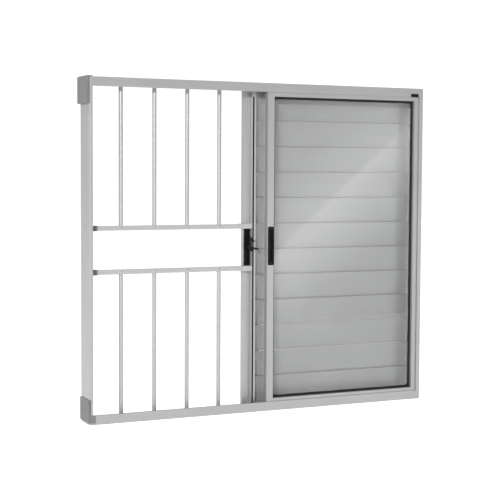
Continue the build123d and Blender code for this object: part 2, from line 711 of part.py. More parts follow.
def main():
    os.makedirs("parts", exist_ok=True)

    # frame
    rail_holes = [rail_screw_hole(z) for z in rail_z.values()]
    left = left_jamb()
    right = right_jamb(left)
    for hole in rail_holes:
        left -= hole
    write("frame_sill", sill())
    write("frame_head", head())
    write("frame_left_jamb", left)
    write("frame_right_jamb", right)
    write("left_bumpers", jamb_bumpers(-1))
    write("right_bumpers", jamb_bumpers(1))
    write("glass_strike", strike(glass_mid))
    write("louvre_strike", strike(louvre_mid))
    write("badge_plate", badge())
    write("upper_corner_guard", upper_guard())
    write("lower_corner_guard", lower_guard())

    # grille
    for name, z in rail_z.items():
        write(f"grille_rail_{name}", rail(z))
        write(f"rail_post_sleeve_{name}", post_sleeve(z))
        for n, x in enumerate(bar_x):
            write(f"grille_bar_{name}_{n + 1}", bar(x, 1 if z > rail_mid else -1))
    write("rail_plugs", [rail_plug(z) for z in rail_z.values()])
    write("rail_wall_sleeves", [wall_sleeve(z) for z in rail_z.values()])
    write("grille_rivets", rivets())
    length = JAMB_LIP + WALL_SLEEVE_L - SCREW_HOLE_END - SCREW_END
    screws = [screw(-half, grille_mid, z, length, "x", 1) for z in rail_z.values()]
    write("jamb_screws", screws)
    write("grille_post", post())
    write("grille_post_strip", strip_box(STRIP_W, 0))

    # fixed louvre leaf
    fixed_floor, fixed_top = WALL, HEIGHT - WALL
    edges = (FIXED_EDGE, FIXED_EDGE + FIXED_STILE, stop - FIXED_STILE, stop)
    members = louvre_members(edges, fixed_front, fixed_back, fixed_floor, fixed_top, LOUVRE_RAIL)
    for name, member in zip(("left_stile", "right_stile", "bottom_rail", "top_rail"), members):
        write(f"fixed_louvre_{name}", member)
    low, high = fixed_floor + LOUVRE_RAIL, fixed_top - LOUVRE_RAIL
    write("fixed_louvre_blades", blades(edges[1], edges[2], fixed_front, fixed_back, low, high))

    # sliding louvre leaf
    x0 = LOUVRE_REST_EDGE
    edges = (x0, x0 + LOUVRE_STILE, stop - LOUVRE_JAMB_STILE, stop)
    span = (louvre_front, louvre_back, LEAF_FLOOR, leaf_top)
    members = louvre_members(edges, *span, LOUVRE_TOP_RAIL)
    stile = members[0] - handle_pocket(lock_x, lock_size, louvre_front)
    for z in screw_heights(lock_size):
        stile -= rod(lock_x, louvre_front, z, SCREW_R, 2 * LOCK_BODY, "y")
    write("louvre_leaf_lock_stile", stile)
    write("louvre_leaf_jamb_stile", members[1])
    write("louvre_leaf_bottom_rail", members[2])
    write("louvre_leaf_top_rail", members[3])
    low, high = LEAF_FLOOR + LOUVRE_RAIL, leaf_top - LOUVRE_TOP_RAIL
    write("louvre_leaf_blades", blades(edges[1], edges[2], louvre_front, louvre_back, low, high))
    write("louvre_lock_body", lock_body())
    write("louvre_lock_lever", lever())
    write("louvre_lock_screws", handle_screws(lock_x, lock_size, louvre_front, LOCK_SCREW_L))
    places = (x0 + ROLLER_INSET, stop - ROLLER_INSET)
    top = LEAF_FLOOR + LOUVRE_RAIL - THIN
    write("louvre_leaf_roller_housings", [roller_housing(x, louvre_mid, top) for x in places])
    write("louvre_leaf_axles", [axle(x, louvre_mid) for x in places])
    for name, x in zip(("left", "right"), places):
        write(f"louvre_leaf_roller_{name}", roller(x, louvre_mid))

    # glass leaf
    left, right, bottom, top_rail, opening = glass_leaf()
    left -= handle_pocket(pull_x, pull_size, glass_front)
    for z in screw_heights(pull_size):
        left -= rod(pull_x, glass_front, z, SCREW_R, 2 * PULL_BODY, "y")
    write("glass_leaf_pull_stile", left)
    write("glass_leaf_jamb_stile", right)
    write("glass_leaf_bottom_rail", bottom)
    write("glass_leaf_top_rail", top_rail)
    write("glass_pane", pane(opening))
    write("glass_gasket", gasket(opening))
    write("glass_pull_body", handle_shell(pull_x, pull_size, glass_front))
    write("glass_thumb_latch", thumb_latch())
    write("glass_pull_screws", handle_screws(pull_x, pull_size, glass_front, PULL_SCREW_L))
    places = (GLASS_REST_EDGE + ROLLER_INSET, stop - ROLLER_INSET)
    top = LEAF_FLOOR + GLASS_RAIL - REBATE - THIN
    write("glass_leaf_roller_housings", [roller_housing(x, glass_mid, top) for x in places])
    write("glass_leaf_axles", [axle(x, glass_mid) for x in places])
    for name, x in zip(("left", "right"), places):
        write(f"glass_leaf_roller_{name}", roller(x, glass_mid))


main()
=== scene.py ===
import json
import math

import bmesh
import bpy
from mathutils import Matrix, Vector


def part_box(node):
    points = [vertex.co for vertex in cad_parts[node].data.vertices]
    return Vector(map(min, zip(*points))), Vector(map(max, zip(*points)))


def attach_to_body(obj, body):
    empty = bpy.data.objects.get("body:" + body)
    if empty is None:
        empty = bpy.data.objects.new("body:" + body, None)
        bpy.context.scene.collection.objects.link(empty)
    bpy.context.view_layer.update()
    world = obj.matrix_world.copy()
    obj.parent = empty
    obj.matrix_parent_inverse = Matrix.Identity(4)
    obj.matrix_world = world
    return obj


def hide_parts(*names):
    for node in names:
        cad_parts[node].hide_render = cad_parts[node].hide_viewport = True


bl_info = {
    "name": "Grilled sliding window",
    "version": (1, 0, 0),
    "blender": (4, 5, 0),
    "location": "3D View > Sidebar > Window",
    "description": "Builds the finished pieces of a sliding window with a fixed grille",
    "category": "Object",
}

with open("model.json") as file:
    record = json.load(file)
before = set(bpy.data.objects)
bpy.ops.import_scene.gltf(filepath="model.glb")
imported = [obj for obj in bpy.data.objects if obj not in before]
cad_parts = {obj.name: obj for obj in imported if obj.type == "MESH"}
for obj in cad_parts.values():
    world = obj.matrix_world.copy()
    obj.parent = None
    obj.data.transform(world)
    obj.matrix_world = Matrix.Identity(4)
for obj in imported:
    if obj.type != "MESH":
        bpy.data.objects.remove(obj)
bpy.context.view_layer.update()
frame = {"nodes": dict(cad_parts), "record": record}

MM = 0.001
BODIES = frame["record"]["behaviour"]["bodies"]

# mesh clean-up
MERGE = 1e-6
COPLANAR = math.radians(0.4)
SHARP = math.radians(30)
SOFT_DEGREES = 32  # edges that turn less than this shade smooth

# drawing lines of the metal, in lines a metre along and across
LINE_ALONG, LINE_ACROSS = 4, 900
LINE_RELIEF = 0.06 * MM
METAL_SHARE = 0.45  # the anodised layer shades partly as metal

# fasteners and pile
RIVET_R, RIVET_PROUD, RIVET_SHANK = 3.2 * MM, 1.0 * MM, 1.55 * MM
SCREW_SHANK = 1.9 * MM
TUFT_FOOT, TUFT_WAIST, TUFT_TIP = 0.55 * MM, 0.5 * MM, 0.12 * MM
PILE_MARGIN = 0.8 * MM
PILE_LEAN = math.radians(9)
BLADE_INSET = 0.6 * MM  # lowest drip edge above the bottom rail

# stage
FLOOR_REACH = 14.0
KEY_DISTANCE = 4.2
CARD_Y = -2.2
CARD_MARGIN = 0.06
BACK_LOBE = (0.43, 0.9, 0.0)
LEFT_LOBE = (-1.0, 0.0, 0.1)
GLARE_STOPS = (
    (0.24, 0.02), (0.42, 0.34), (0.496, 0.68), (0.503, 1.0), (0.53, 0.82), (0.60, 0.40), (0.85, 0.12)
)


# ---------------------------------------------------------------- settings
class WindowFinish(bpy.types.PropertyGroup):
    """Colours and surface of the window's materials."""

    frame_tone: bpy.props.FloatVectorProperty(
        name="Frame metal", description="Colour of the anodised frame and leaf sections",
        subtype="COLOR", min=0, max=1, default=(0.545, 0.545, 0.548),
    )
    grille_tone: bpy.props.FloatVectorProperty(
        name="Grille metal", description="Colour of the grille's bars and rails",
        subtype="COLOR", min=0, max=1, default=(0.61, 0.61, 0.613),
    )
    # The blades' tone is set lighter than the frame metal: painted light that makes up for the shade the
    # blades get deep behind the grille's post.
    blade_tone_with_painted_light: bpy.props.FloatVectorProperty(
        name="Blade metal", description="Colour of the louvre blades",
        subtype="COLOR", min=0, max=1, default=(0.62, 0.62, 0.623),
    )
    roughness: bpy.props.FloatProperty(
        name="Metal roughness", description="How matt the anodised metal is",
        subtype="FACTOR", min=0.05, max=1, default=0.42,
    )
    grain: bpy.props.FloatProperty(
        name="Grain", description="Depth of the drawing lines left by extrusion",
        subtype="FACTOR", min=0, max=1, default=0.22,
    )
    guard_tone: bpy.props.FloatVectorProperty(
        name="Guard plastic", description="Colour of the corner guards",
        subtype="COLOR", min=0, max=1, default=(0.285, 0.285, 0.288),
    )
    handle_tone: bpy.props.FloatVectorProperty(
        name="Handle plastic", description="Colour of the lock and the finger pull",
        subtype="COLOR", min=0, max=1, default=(0.006, 0.006, 0.0065),
    )
    edge: bpy.props.FloatProperty(
        name="Edge radius", description="Rounding of the extruded edges",
        subtype="DISTANCE", unit="LENGTH", min=0, max=0.002, default=0.00035,
    )


class LouvreShape(bpy.types.PropertyGroup):
    """The blades of both louvre leaves."""

    count: bpy.props.IntProperty(
        name="Blades", description="Blades in one leaf", min=1, max=40, default=12
    )
    lip: bpy.props.FloatProperty(
        name="Lip", description="Height of a blade's upright edges",
        subtype="DISTANCE", unit="LENGTH", min=0.001, max=0.02, default=0.003,
    )
    sheet: bpy.props.FloatProperty(
        name="Sheet", description="Thickness of a blade",
        subtype="DISTANCE", unit="LENGTH", min=0.0004, max=0.003, default=0.0011,
    )
    gap: bpy.props.FloatProperty(
        name="Gap", description="Shadow gap between two blades",
        subtype="DISTANCE", unit="LENGTH", min=0, max=0.005, default=0.0005,
    )


class PileShape(bpy.types.PropertyGroup):
    """The brush pile on the grille's post."""

    step: bpy.props.FloatProperty(
        name="Tuft spacing", description="Distance between tufts up the post",
        subtype="DISTANCE", unit="LENGTH", min=0.0005, max=0.01, default=0.0012,
    )
    columns: bpy.props.IntProperty(
        name="Columns", description="Tufts across the strip", min=1, max=8, default=4
    )
    height: bpy.props.FloatProperty(
        name="Pile", description="How far the pile stands out of its strip",
        subtype="DISTANCE", unit="LENGTH", min=0.0002, max=0.004, default=0.0009,
    )
    seed: bpy.props.IntProperty(name="Seed", description="Seed of the tufts' lean", default=7)


class StageLook(bpy.types.PropertyGroup):
    """Floor, lights and camera."""

    floor_tone: bpy.props.FloatVectorProperty(
        name="Floor", description="Colour of the floor",
        subtype="COLOR", min=0, max=1, default=(0.93, 0.93, 0.93),
    )
    floor_glow: bpy.props.FloatProperty(
        name="Floor glow", description="Light the floor gives of its own, as a lit sweep does",
        min=0, max=2, default=0.78,
    )
    key_power: bpy.props.FloatProperty(
        name="Key light", description="Power of the soft light at the left",
        subtype="POWER", unit="POWER", min=0, max=2000, default=74.0,
    )
    key_azimuth: bpy.props.FloatProperty(
        name="Key azimuth", description="Turn of the key light to the left of the window's front",
        subtype="ANGLE", unit="ROTATION", default=math.radians(37),
    )
    key_height: bpy.props.FloatProperty(
        name="Key elevation", description="Height of the key light above the level",
        subtype="ANGLE", unit="ROTATION", default=math.radians(20),
    )
    key_size: bpy.props.FloatProperty(
        name="Key size", description="Side of the square key light",
        subtype="DISTANCE", unit="LENGTH", min=0.05, max=4, default=0.35,
    )
    sky_left: bpy.props.FloatProperty(
        name="Left fill", description="Brightness of the surround at the window's left",
        min=0, max=3, default=0.66,
    )
    sky_front: bpy.props.FloatProperty(
        name="Surround", description="Brightness of the surround in front of the window",
        min=0, max=3, default=0.36,
    )
    sky_back: bpy.props.FloatProperty(
        name="Backdrop", description="Brightness of the surround behind the window",
        min=0, max=3, default=1.12,
    )
    glare: bpy.props.FloatProperty(
        name="Glare", description="Brightness of the light that the glass reflects",
        min=0, max=20, default=3.4,
    )
    glare_high: bpy.props.FloatVectorProperty(
        name="Glare edge, high end", description="Place on the pane, as shares of its width and height",
        size=2, subtype="COORDINATES", min=-1, max=2, default=(0.96, 0.915),
    )
    glare_low: bpy.props.FloatVectorProperty(
        name="Glare edge, low end", description="Place on the pane, as shares of its width and height",
        size=2, subtype="COORDINATES", min=-1, max=2, default=(0.035, 0.48),
    )
    camera_place: bpy.props.FloatVectorProperty(
        name="Camera", description="Where the camera stands",
        subtype="TRANSLATION", unit="LENGTH", default=(-1.6963, -3.5244, 0.7312),
    )
    camera_yaw: bpy.props.FloatProperty(
        name="Yaw", description="Turn of the camera to the right of straight ahead",
        subtype="ANGLE", unit="ROTATION", default=math.radians(25.2455),
    )
    camera_pitch: bpy.props.FloatProperty(
        name="Pitch", description="Tilt of the camera above the level",
        subtype="ANGLE", unit="ROTATION", default=math.radians(-3.496),
    )
    camera_roll: bpy.props.FloatProperty(
        name="Roll", description="Roll of the camera",
        subtype="ANGLE", unit="ROTATION", default=math.radians(0.31),
    )
    lens: bpy.props.FloatProperty(
        name="Lens", description="Focal length on a 36 mm sensor, in millimetres",
        min=10, max=300, default=91.9,
    )


# ---------------------------------------------------------------- shader helpers
def shader(name):
    """A new node material with its Principled node."""
    material = bpy.data.materials.new(name)
    material.use_nodes = True
    return material, material.node_tree, material.node_tree.nodes["Principled BSDF"]


def grain_coordinates(tree, scale):
    """Object coordinates stretched by a scale in X, Y and Z."""
    where = tree.nodes.new("ShaderNodeTexCoord")
    stretch = tree.nodes.new("ShaderNodeMapping")
    stretch.inputs["Scale"].default_value = scale
    tree.links.new(where.outputs["Object"], stretch.inputs["Vector"])
    return stretch.outputs["Vector"]


def noise(tree, vector, scale, detail=2.0):
    texture = tree.nodes.new("ShaderNodeTexNoise")
    texture.inputs["Scale"].default_value = scale
    texture.inputs["Detail"].default_value = detail
    tree.links.new(vector, texture.inputs["Vector"])
    return texture.outputs["Fac"]


def ranged(tree, value, low, high):
    """The value's 0 to 1 run spread from low to high."""
    spread = tree.nodes.new("ShaderNodeMapRange")
    spread.inputs["From Min"].default_value = 0.3
    spread.inputs["From Max"].default_value = 0.7
    spread.inputs["To Min"].default_value = low
    spread.inputs["To Max"].default_value = high
    tree.links.new(value, spread.inputs["Value"])
    return spread.outputs["Result"]


def shaded(tree, value, colour, low, high):
    """The colour times a shade that runs from low to high with the value."""
    mix = tree.nodes.new("ShaderNodeMix")
    mix.data_type = "RGBA"
    mix.inputs["A"].default_value = (*[c * low for c in colour], 1)
    mix.inputs["B"].default_value = (*[min(c * high, 1) for c in colour], 1)
    tree.links.new(ranged(tree, value, 0, 1), mix.inputs["Factor"])
    return mix.outputs["Result"]


def bumped(tree, value, strength, distance):
    bump = tree.nodes.new("ShaderNodeBump")
    bump.inputs["Strength"].default_value = strength
    bump.inputs["Distance"].default_value = distance
    tree.links.new(value, bump.inputs["Height"])
    return bump.outputs["Normal"]


def metal(name, colour, axis, finish):
    """Satin anodised aluminium with fine lines along the axis it was drawn on."""
    material, tree, surface = shader(name)
    across = (LINE_ACROSS, LINE_ACROSS)
    along = {"X": (LINE_ALONG, *across), "Z": (*across, LINE_ALONG)}[axis]
    lines = noise(tree, grain_coordinates(tree, along), 1.0, 3.0)
    cloud = noise(tree, grain_coordinates(tree, (1, 1, 1)), 9.0, 3.0)
    tone = shaded(tree, cloud, colour, 0.975, 1.025)
    fine = tree.nodes.new("ShaderNodeMix")
    fine.data_type = "RGBA"
    fine.blend_type = "MULTIPLY"
    fine.inputs["Factor"].default_value = 1.0
    tree.links.new(tone, fine.inputs["A"])
    tree.links.new(shaded(tree, lines, (1, 1, 1), 0.955, 1.0), fine.inputs["B"])
    tree.links.new(fine.outputs["Result"], surface.inputs["Base Color"])
    rough = ranged(tree, lines, finish.roughness - 0.05, finish.roughness + 0.06)
    tree.links.new(rough, surface.inputs["Roughness"])
    tree.links.new(bumped(tree, lines, finish.grain, LINE_RELIEF), surface.inputs["Normal"])
    surface.inputs["Metallic"].default_value = METAL_SHARE
    return material


def plastic(name, colour, roughness, grit, shine=0.5):
    """Moulded plastic with a fine eroded grain and faint scuffs."""
    material, tree, surface = shader(name)
    spots = noise(tree, grain_coordinates(tree, (1, 1, 1)), grit, 4.0)
    scuffs = noise(tree, grain_coordinates(tree, (40, 60, 9)), 2.0, 2.0)
    tree.links.new(shaded(tree, scuffs, colour, 0.86, 1.18), surface.inputs["Base Color"])
    rough = ranged(tree, scuffs, roughness - 0.07, roughness + 0.08)
    tree.links.new(rough, surface.inputs["Roughness"])
    tree.links.new(bumped(tree, spots, 0.3, 0.00012), surface.inputs["Normal"])
    surface.inputs["Specular IOR Level"].default_value = shine
    return material


def rubber(name):
    material, tree, surface = shader(name)
    spots = noise(tree, grain_coordinates(tree, (1, 1, 1)), 1500.0, 2.0)
    bloom = noise(tree, grain_coordinates(tree, (3, 3, 3)), 6.0, 3.0)
    tree.links.new(shaded(tree, bloom, (0.004, 0.004, 0.0043), 0.8, 1.4), surface.inputs["Base Color"])
    tree.links.new(ranged(tree, bloom, 0.5, 0.66), surface.inputs["Roughness"])
    tree.links.new(bumped(tree, spots, 0.2, 0.00008), surface.inputs["Normal"])
    surface.inputs["Specular IOR Level"].default_value = 0.15
    return material


def steel(name, colour, metallic):
    """Plated or blacked steel, a little mottled."""
    material, tree, surface = shader(name)
    spangle = noise(tree, grain_coordinates(tree, (1, 1, 1)), 420.0, 3.0)
    tree.links.new(shaded(tree, spangle, colour, 0.88, 1.08), surface.inputs["Base Color"])
    tree.links.new(ranged(tree, spangle, 0.24, 0.38), surface.inputs["Roughness"])
    surface.inputs["Metallic"].default_value = metallic
    surface.inputs["Specular IOR Level"].default_value = 0.3
    return material


def float_glass(name):
    """Grey-tinted pane with a faint waviness; the tint darkens all that is seen through it."""
    material, tree, surface = shader(name)
    waves = noise(tree, grain_coordinates(tree, (1, 1, 1)), 5.0, 1.0)
    tree.links.new(shaded(tree, waves, (0.655, 0.66, 0.66), 0.99, 1.01), surface.inputs["Base Color"])
    surface.inputs["Roughness"].default_value = 0.0
    surface.inputs["IOR"].default_value = 1.5
    surface.inputs["Transmission Weight"].default_value = 1.0
    return material


def glare_light(name, power):
    """Light with a sharp edge at mid width: faint before it, bright at it, fading after it."""
    material = bpy.data.materials.new(name)
    material.use_nodes = True
    tree = material.node_tree
    tree.nodes.remove(tree.nodes["Principled BSDF"])
    where = tree.nodes.new("ShaderNodeTexCoord")
    split = tree.nodes.new("ShaderNodeSeparateXYZ")
    tree.links.new(where.outputs["UV"], split.inputs["Vector"])
    ramp = tree.nodes.new("ShaderNodeValToRGB")
    stops = ramp.color_ramp.elements
    ends = (GLARE_STOPS[0], GLARE_STOPS[-1])
    for stop, (position, level) in zip(stops, ends):
        stop.position, stop.color = position, (level, level, level, 1)
    for position, level in GLARE_STOPS[1:-1]:
        stops.new(position).color = (level, level, level, 1)
    tree.links.new(split.outputs["X"], ramp.inputs["Fac"])
    glow = tree.nodes.new("ShaderNodeEmission")
    tree.links.new(ramp.outputs["Color"], glow.inputs["Color"])
    glow.inputs["Strength"].default_value = power
    tree.links.new(glow.outputs["Emission"], tree.nodes["Material Output"].inputs["Surface"])
    return material


def nylon(name):
    material, tree, surface = shader(name)
    cloud = noise(tree, grain_coordinates(tree, (1, 1, 1)), 300.0, 3.0)
    tree.links.new(shaded(tree, cloud, (0.6, 0.6, 0.57), 0.93, 1.04), surface.inputs["Base Color"])
    tree.links.new(ranged(tree, cloud, 0.42, 0.55), surface.inputs["Roughness"])
    return material


def material_of(key):
    """The material with that key, made on first use."""
    if key in bpy.data.materials:
        return bpy.data.materials[key]
    finish = bpy.context.scene.window_finish
    makers = {
        "frame_level": lambda: metal(key, finish.frame_tone, "X", finish),
        "frame_upright": lambda: metal(key, finish.frame_tone, "Z", finish),
        "grille_level": lambda: metal(key, finish.grille_tone, "X", finish),
        "grille_upright": lambda: metal(key, finish.grille_tone, "Z", finish),
        # blades in a lighter copy of the frame metal: painted light for their shaded recess
        "blade_sheet": lambda: metal(key, finish.blade_tone_with_painted_light, "X", finish),
        "guard_plastic": lambda: plastic(key, finish.guard_tone, 0.58, 900.0),
        "sleeve_plastic": lambda: plastic(key, [c * 0.9 for c in finish.guard_tone], 0.55, 900.0),
        "handle_plastic": lambda: plastic(key, finish.handle_tone, 0.42, 1300.0, 0.22),
        "black_rubber": lambda: rubber(key),
        "plated_steel": lambda: steel(key, (0.5, 0.5, 0.51), 1.0),
        "black_steel": lambda: steel(key, (0.012, 0.012, 0.013), 0.0),
        "float_glass": lambda: float_glass(key),
        "nylon": lambda: nylon(key),
    }
    return makers[key]()


# ---------------------------------------------------------------- mesh helpers
def body_of(node):
    return next(body for body, members in BODIES.items() if node in members)


def box(node):
    low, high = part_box(node)
    return Vector(low), Vector(high)


def smooth_by_angle(bm, degrees=SOFT_DEGREES):
    for face in bm.faces:
        face.smooth = True
    for edge in bm.edges:
        flat = len(edge.link_faces) == 2 and edge.calc_face_angle(0) < math.radians(degrees)
        edge.smooth = flat


def piece_from(bm, name, material):
    """A new object at the origin that holds the mesh."""
    mesh = bpy.data.meshes.new(name)
    bm.to_mesh(mesh)
    bm.free()
    mesh.materials.append(material)
    piece = bpy.data.objects.new(name, mesh)
    bpy.context.scene.collection.objects.link(piece)
    return piece


def evened(piece):
    """Gives the piece normals that follow its large faces, so that flat faces shade flat."""
    weigh = piece.modifiers.new("weigh", "WEIGHTED_NORMAL")
    weigh.keep_sharp = True
    evaluated = piece.evaluated_get(bpy.context.evaluated_depsgraph_get())
    mesh = bpy.data.meshes.new_from_object(evaluated)
    piece.modifiers.remove(weigh)
    mesh.name = piece.name
    piece.data = mesh
    return piece


def attach(piece, node, replace=True):
    """The piece rides where a CAD node rides and may stand for it."""
    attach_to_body(piece, body_of(node))
    if replace:
        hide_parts(node)
    return piece


def refined(node, key, width=None, segments=2):
    """A copy of a CAD node, merged, with its sharp edges rounded, that stands for the node."""
    if width is None:
        width = bpy.context.scene.window_finish.edge
    bm = bmesh.new()
    bm.from_mesh(frame["nodes"][node].data)
    bmesh.ops.remove_doubles(bm, verts=bm.verts, dist=MERGE)
    bmesh.ops.dissolve_limit(bm, angle_limit=COPLANAR, verts=bm.verts, edges=bm.edges)
    sharp = [
        e for e in bm.edges
        if len(e.link_faces) == 2 and e.calc_face_angle(0) > SHARP
    ]
    if width > 0:
        bmesh.ops.bevel(
            bm, geom=sharp, offset=width, offset_type="OFFSET", segments=segments,
            profile=0.5, affect="EDGES", clamp_overlap=False,
        )
    smooth_by_angle(bm)
    return attach(evened(piece_from(bm, node + "_finished", material_of(key))), node)


def prism(outline, x0, x1):
    """A section in Y and Z run along X."""
    bm = bmesh.new()
    ends = [[bm.verts.new((x, y, z)) for y, z in outline] for x in (x0, x1)]
    bm.faces.new(ends[0])
    bm.faces.new(list(reversed(ends[1])))
    count = len(outline)
    for n in range(count):
        after = (n + 1) % count
        bm.faces.new((ends[0][after], ends[0][n], ends[1][n], ends[1][after]))
    bmesh.ops.recalc_face_normals(bm, faces=bm.faces)
    return bm


def turned(profile, axis, centre, sides=24):
    """A solid of revolution: profile pairs are (distance along the axis, radius)."""
    bm = bmesh.new()
    along = {"X": Vector((1, 0, 0)), "Y": Vector((0, 1, 0)), "Z": Vector((0, 0, 1))}[axis]
    side = along.orthogonal().normalized()
    other = along.cross(side)
    rings = []
    for distance, radius in profile:
        middle = Vector(centre) + along * distance
        if radius < 1e-7:
            rings.append([bm.verts.new(middle)])
            continue
        turns = [2 * math.pi * n / sides for n in range(sides)]
        rings.append(
            [bm.verts.new(middle + (side * math.cos(t) + other * math.sin(t)) * radius) for t in turns]
        )
    for a, b in zip(rings, rings[1:]):
        for n in range(sides):
            after = (n + 1) % sides
            if len(a) == 1:
                bm.faces.new((a[0], b[n], b[after]))
            elif len(b) == 1:
                bm.faces.new((a[after], a[n], b[0]))
            else:
                bm.faces.new((a[after], a[n], b[n], b[after]))
    bmesh.ops.recalc_face_normals(bm, faces=bm.faces)
    return bm


# ---------------------------------------------------------------- geometry nodes
def repeat_tree():
    """Repeats the host mesh on a grid, each copy leaning a little at random."""
    name = "repeat_on_grid"
    if name in bpy.data.node_groups:
        return bpy.data.node_groups[name]
    tree = bpy.data.node_groups.new(name, "GeometryNodeTree")
    face = tree.interface
    face.new_socket("Geometry", in_out="INPUT", socket_type="NodeSocketGeometry")
    face.new_socket("Columns", in_out="INPUT", socket_type="NodeSocketInt")
    face.new_socket("Column Step", in_out="INPUT", socket_type="NodeSocketVector")
    face.new_socket("Rows", in_out="INPUT", socket_type="NodeSocketInt")
    face.new_socket("Row Step", in_out="INPUT", socket_type="NodeSocketVector")
    face.new_socket("Lean", in_out="INPUT", socket_type="NodeSocketVector")
    face.new_socket("Seed", in_out="INPUT", socket_type="NodeSocketInt")
    face.new_socket("Material", in_out="INPUT", socket_type="NodeSocketMaterial")
    face.new_socket("Geometry", in_out="OUTPUT", socket_type="NodeSocketGeometry")
    nodes, links = tree.nodes, tree.links
    given = nodes.new("NodeGroupInput")
    result = nodes.new("NodeGroupOutput")

    def line(count, step):
        row = nodes.new("GeometryNodeMeshLine")
        row.mode = "OFFSET"
        links.new(given.outputs[count], row.inputs["Count"])
        links.new(given.outputs[step], row.inputs["Offset"])
        return row.outputs["Mesh"]

    grid = nodes.new("GeometryNodeInstanceOnPoints")
    links.new(line("Columns", "Column Step"), grid.inputs["Points"])
    links.new(line("Rows", "Row Step"), grid.inputs["Instance"])
    real_grid = nodes.new("GeometryNodeRealizeInstances")
    links.new(grid.outputs["Instances"], real_grid.inputs["Geometry"])
    lean = nodes.new("FunctionNodeRandomValue")
    lean.data_type = "FLOAT_VECTOR"
    back = nodes.new("ShaderNodeVectorMath")
    back.operation = "SCALE"
    back.inputs["Scale"].default_value = -1.0
    links.new(given.outputs["Lean"], back.inputs[0])
    links.new(back.outputs["Vector"], lean.inputs["Min"])
    links.new(given.outputs["Lean"], lean.inputs["Max"])
    links.new(given.outputs["Seed"], lean.inputs["Seed"])
    place = nodes.new("GeometryNodeInstanceOnPoints")
    links.new(real_grid.outputs["Geometry"], place.inputs["Points"])
    links.new(given.outputs["Geometry"], place.inputs["Instance"])
    links.new(lean.outputs["Value"], place.inputs["Rotation"])
    real = nodes.new("GeometryNodeRealizeInstances")
    links.new(place.outputs["Instances"], real.inputs["Geometry"])
    paint = nodes.new("GeometryNodeSetMaterial")
    links.new(real.outputs["Geometry"], paint.inputs["Geometry"])
    links.new(given.outputs["Material"], paint.inputs["Material"])
    links.new(paint.outputs["Geometry"], result.inputs["Geometry"])
    return tree


def repeated(piece, start, columns, column_step, rows, row_step, lean=(0, 0, 0), seed=0):
    """Turns a piece built about the origin into a grid of itself that begins at start."""
    tree = repeat_tree()
    repeat = piece.modifiers.new("repeat", "NODES")
    repeat.node_group = tree
    values = {
        "Columns": columns, "Column Step": column_step, "Rows": rows, "Row Step": row_step,
        "Lean": lean, "Seed": seed, "Material": piece.data.materials[0],
    }
    for socket in tree.interface.items_tree:
        if socket.in_out == "INPUT" and socket.name in values:
            repeat[socket.identifier] = values[socket.name]
    evaluated = piece.evaluated_get(bpy.context.evaluated_depsgraph_get())
    mesh = bpy.data.meshes.new_from_object(evaluated)
    piece.modifiers.remove(repeat)
    mesh.transform(Matrix.Translation(start))
    mesh.name = piece.name
    piece.data = mesh
    return piece


# ---------------------------------------------------------------- blades
def blade_outline(front, back, pitch, shape):
    """A blade's section about its own drip edge: an upright lip, a slope and a drip edge."""
    t, lip = shape.sheet, shape.lip
    top = pitch - shape.gap
    bend = t * 0.5
    return [
        (front, top - lip),
        (front, top - bend),
        (front + bend, top),
        (front + t - bend / 2, top),
        (front + t, top - bend),
        (front + t, top - lip + t),
        (back, lip + t),
        (back, bend),
        (back - bend, 0),
        (back - t, 0),
        (back - t, lip),
    ]


def louvre_stack(node, frames, name):
    """All the blades of one leaf, between its stiles and its rails."""
    shape = bpy.context.scene.louvre_shape
    low, high = box(node)
    left, right, bottom, top = (box(frames + part) for part in frames_of(frames))
    z0 = bottom[1].z + BLADE_INSET
    pitch = (top[0].z - z0) / shape.count
    outline = blade_outline(low.y, high.y, pitch, shape)
    bm = prism(outline, left[1].x, right[0].x)
    smooth_by_angle(bm, 40)
    piece = piece_from(bm, name, material_of("blade_sheet"))
    repeated(piece, (0, 0, z0), 1, (0, 0, 0), shape.count, (0, 0, pitch))
    return attach(piece, node)


def frames_of(prefix):
    """Names of a louvre leaf's members after its prefix: stiles left and right, rails low and high."""
    stiles = ("lock_stile", "jamb_stile") if prefix == "louvre_leaf_" else ("left_stile", "right_stile")
    return (*stiles, "bottom_rail", "top_rail")


# ---------------------------------------------------------------- operators
class WINDOW_OT_frame(bpy.types.Operator):
    """Sill, head and jambs, with rounded extrusion edges"""

    bl_idname = "window_build.frame"
    bl_label = "Frame sections"

    def execute(self, context):
        for node in ("frame_sill", "frame_head"):
            refined(node, "frame_level")
        for node in ("frame_left_jamb", "frame_right_jamb"):
            refined(node, "frame_upright")
        for node in ("left_bumpers", "right_bumpers"):
            refined(node, "black_rubber")
        for node in ("glass_strike", "louvre_strike"):
            refined(node, "plated_steel", 0.2 * MM)
        return {"FINISHED"}


class WINDOW_OT_grille(bpy.types.Operator):
    """Rails, bars, sleeves and the post of the fixed grille"""

    bl_idname = "window_build.grille"
    bl_label = "Grille"

    def execute(self, context):
        for level in ("upper", "lower"):
            refined(f"grille_rail_{level}", "grille_level")
            refined(f"rail_post_sleeve_{level}", "grille_level", 0.25 * MM)
        bars = [n for n in frame["nodes"] if n.startswith("grille_bar_")]
        for node in sorted(bars):
            refined(node, "grille_upright", 0.2 * MM)
        refined("rail_wall_sleeves", "sleeve_plastic", 0.25 * MM)
        refined("rail_plugs", "nylon", 0.25 * MM)
        refined("grille_post", "grille_upright")
        return {"FINISHED"}


